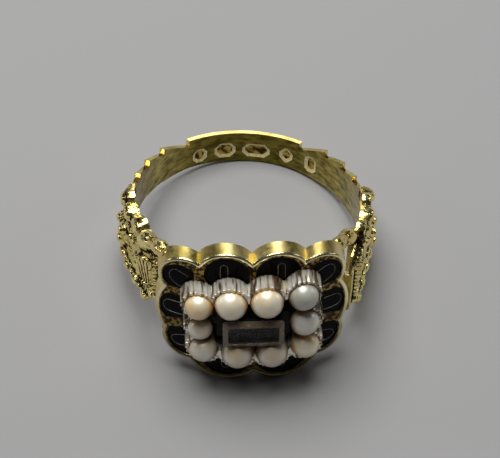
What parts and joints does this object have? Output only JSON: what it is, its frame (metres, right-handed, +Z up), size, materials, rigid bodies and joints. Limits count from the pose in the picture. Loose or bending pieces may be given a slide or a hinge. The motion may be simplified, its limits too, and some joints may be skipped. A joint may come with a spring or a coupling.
{
  "type": "mourning ring",
  "caption": "Gold mourning ring: scalloped black enamel bezel with half pearls round glazed hair, cast shoulders and a stepped band.",
  "frame": {"origin": "bottom centre of the bounding box: the ring lies on its side on the plane z = 0", "axes": "-Y towards the bezel and the viewer, +X to the viewer's right, +Z up; the finger hole's axis leans back by the rest tilt"},
  "size_m": [0.0194, 0.0224, 0.0121],
  "materials": {
    "gold": "polished yellow gold, brown in the recesses",
    "silver": "worn silver",
    "pearl": "pearl lustre",
    "black_enamel": "gloss black",
    "hair": "woven brown hair",
    "crystal": "polished, bevelled"
  },
  "bodies": {
    "root": {"ring_body": "gold", "pearl_setting": "silver", "pearl_1": "pearl", "pearl_2": "pearl", "pearl_3": "pearl", "pearl_4": "pearl", "pearl_5": "pearl", "pearl_6": "pearl", "pearl_7": "pearl", "pearl_8": "pearl", "pearl_9": "pearl", "pearl_10": "pearl", "enamel_1": "black_enamel", "enamel_2": "black_enamel", "enamel_3": "black_enamel", "enamel_4": "black_enamel", "enamel_5": "black_enamel", "enamel_6": "black_enamel", "enamel_7": "black_enamel", "enamel_8": "black_enamel", "enamel_9": "black_enamel", "enamel_10": "black_enamel", "locket_stand": "black_enamel", "hair_panel": "hair", "locket_glass": "crystal"}
  },
  "joints": []
}
